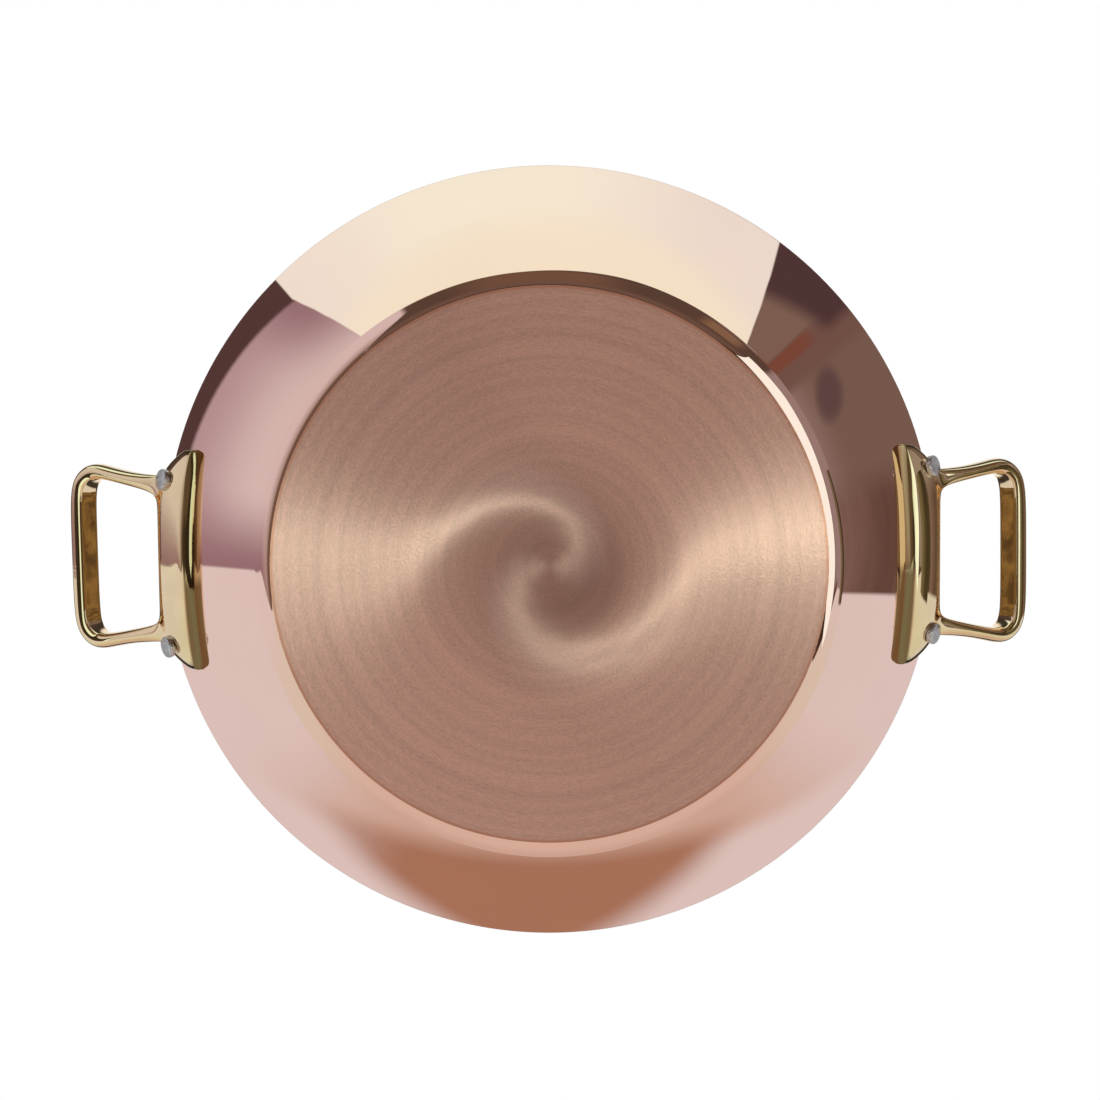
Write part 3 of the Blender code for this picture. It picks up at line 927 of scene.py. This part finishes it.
def paint_side_card(tree, side, along, height):
    """Olive for the lug at the bottom, dark for the loop's edge, then brown for the wall and olive again."""
    streaks = noise(tree, combine(tree, 0.0, along * 0.02, height), 420.0, 3.0, 0.6)
    broad = noise(tree, combine(tree, 0.0, along * 0.02, height), 130.0, 3.0, 0.6)
    lug = mix_colors(tree, broad.ramp(0.35, 0.65), (0.085, 0.072, 0.038), (0.27, 0.25, 0.15))
    olive = mix_colors(tree, streaks.ramp(0.35, 0.65), (0.07, 0.055, 0.03), (0.24, 0.21, 0.13))
    black = mix_colors(tree, streaks.ramp(0.35, 0.65), (0.024, 0.018, 0.012), (0.11, 0.09, 0.05))
    brown = mix_colors(tree, height.ramp(0.040, 0.058), seen(128, 92, 80), seen(100, 66, 56))
    brown = mix_colors(tree, streaks.ramp(0.35, 0.65, 0.0, 0.25), brown, seen(84, 54, 46))
    color = mix_colors(tree, height.ramp(0.012, 0.018), lug, black)
    color = mix_colors(tree, height.ramp(0.034, 0.039), color, brown)
    color = mix_colors(tree, height.ramp(0.058, 0.066), color, olive)
    low = height.ramp(0.032, 0.035, 1.0, 0.0)
    cover = along.ramp(0.025, 0.028, 1.0, 0.0).op("MAXIMUM", low * along.ramp(0.031, 0.034, 1.0, 0.0))
    return color, along.ramp(-0.044, -0.018).op("MAXIMUM", low) * cover


def paint_loop_card(tree, side, along, height):
    """What the inner faces of the two loops see across the dish."""
    cast = noise(tree, combine(tree, 0.0, along, height), 160.0, 3.0, 0.6)
    return mix_colors(tree, cast.ramp(0.35, 0.65), seen(88, 56, 32), seen(138, 92, 52)), 1.0


def paint_bar_card(tree, x, along, height):
    """Dark for the right bar, with the light that draws its fine line."""
    line = x.band(0.1240, 0.1246, 0.0004)
    return mix_colors(tree, line, (0.05, 0.034, 0.018), (0.60, 0.42, 0.22)), 1.0


def paint_far_bar_card(tree, x, along, height):
    """Dark with faint lines for the left bar, and cream for its inner half."""
    lines = noise(tree, combine(tree, x, 0.0, 0.0), 900.0, 2.0)
    dark = mix_colors(tree, lines.ramp(0.4, 0.6), (0.02, 0.016, 0.012), (0.07, 0.05, 0.03))
    return mix_colors(tree, x.ramp(-0.1270, -0.1266), dark, CREAM), 1.0


def paint_low_card(tree, x, y, z):
    return (1.05, 1.3, 1.3), x.ramp(0.098, 0.112)


def build_lamp(name, place, size, power):
    data = bpy.data.lights.new(name, "AREA")
    data.shape = "DISK"
    data.size = size
    data.energy = power
    lamp = bpy.data.objects.new(name, data)
    bpy.context.scene.collection.objects.link(lamp)
    lamp.location = place
    lamp.rotation_mode = "QUATERNION"
    lamp.rotation_quaternion = (-Vector(place)).to_track_quat("-Z", "Y")
    lamp.visible_camera = False
    lamp.visible_glossy = False


# Camera

CAMERA_LENS = 57.9
CAMERA_TURN = (radians(3.98), radians(0.01), radians(-1.02))
CAMERA_SHIFT = Vector((-0.00014, 0.00402, 0.420)) * 0.997


def build_camera():
    """The photograph's camera, 0.42 m below the base, from its fitted turn and offset."""
    turn = (Matrix.Rotation(CAMERA_TURN[2], 3, "Z") @ Matrix.Rotation(CAMERA_TURN[1], 3, "Y")
            @ Matrix.Rotation(CAMERA_TURN[0], 3, "X"))
    back = turn.transposed()
    right, down, ahead = back.col[0], back.col[1], back.col[2]
    data = bpy.data.cameras.new("camera")
    data.lens = CAMERA_LENS
    data.sensor_width = 36.0
    data.clip_start = 0.01
    camera = bpy.data.objects.new("camera", data)
    bpy.context.scene.collection.objects.link(camera)
    camera.matrix_world = (Matrix.Translation(-(back @ CAMERA_SHIFT))
                           @ Matrix((right, -down, -ahead)).transposed().to_4x4())
    bpy.context.scene.camera = camera


# Dish

def build_dish():
    copper, spun, steel, brass, rivet_finish = (
        polished_copper(), spun_copper(), satin_steel(), cast_brass(), rivet_steel())
    cutters = bpy.data.collections.new("cutters")
    bpy.context.scene.collection.children.link(cutters)
    cutter_mesh = turned_mesh("rivet_clearance", rivet_clearance_points(), RIVET_STEPS)
    rivet_points_fine = rivet_points()

    shell_mesh = turned_mesh("shell", bowl_points(0.0, COPPER_WALL, RIM_EDGE_RADIUS, SEAM * 2), BOWL_STEPS)
    shell = add_piece("shell_polished", "copper_shell", shell_mesh, "copper", copper, spun)
    for face in shell_mesh.polygons:
        low = face.center.z < SEAM and face.normal.z < -0.99
        inside = hypot(face.center.x, face.center.y) < BASE_RADIUS
        face.material_index = 1 if low and inside else 0
    lining_points = bowl_points(COPPER_WALL + SEAM, WALL, LINING_EDGE_RADIUS / 3, LINING_EDGE_RADIUS)
    lining = add_piece("lining_satin", "steel_lining", turned_mesh("lining", lining_points, BOWL_STEPS),
                       "stainless_steel", steel)

    cage = handle_cage()
    mesh = bpy.data.meshes.new("handle_right")
    cage.to_mesh(mesh)
    cage.free()
    handle = add_piece("handle_right_cast", "handle_right", mesh, "brass", brass)
    smooth = handle.modifiers.new("Cast form", "SUBSURF")
    smooth.levels = HANDLE_LEVELS
    smooth.render_levels = HANDLE_LEVELS

    for x_side, x_name in ((-1, "left"), (1, "right")):
        for y_side, y_name in ((-1, "front"), (1, "back")):
            place = wall_place(x_side, y_side)
            cutter = bpy.data.objects.new(f"clearance_{x_name}_{y_name}", cutter_mesh)
            cutter.matrix_world = place
            cutters.objects.link(cutter)
            node = f"rivet_{x_name}_{y_name}"
            mesh = turned_mesh(node, rivet_points_fine, RIVET_STEPS)
            mesh.transform(place)
            mesh.set_sharp_from_angle(angle=SHARP_ANGLE)
            add_piece(f"{node}_turned", node, mesh, "rivet_steel", rivet_finish)

    for piece in (shell, lining, handle):
        cut = piece.modifiers.new("Rivet holes", "BOOLEAN")
        cut.operation = "DIFFERENCE"
        cut.operand_type = "COLLECTION"
        cut.collection = cutters
        cut.solver = "EXACT"
    for piece in (shell, lining, handle):
        frozen(piece)
    other = handle.data.copy()
    other.transform(Matrix.Rotation(pi, 4, "Z"))
    add_piece("handle_left_cast", "handle_left", other, "brass")
    for cutter in list(cutters.objects):
        bpy.data.objects.remove(cutter)
    bpy.data.collections.remove(cutters)


build_dish()
build_world()
build_floor()
build_card("card_side", SIDE_CARD, paint_side_card)
build_card("card_loops", LOOP_CARD, paint_loop_card)
build_card("card_bar_right", BAR_CARD, paint_bar_card, one_sided=True)
build_card("card_bar_left", FAR_BAR_CARD, paint_far_bar_card, one_sided=True)
build_card("card_low", LOW_CARD, paint_low_card)
build_lamp("lamp_key", (-0.9, -1.1, 1.6), 1.1, 26.0)
build_camera()

settings = bpy.context.scene.view_settings
settings.view_transform = "Standard"
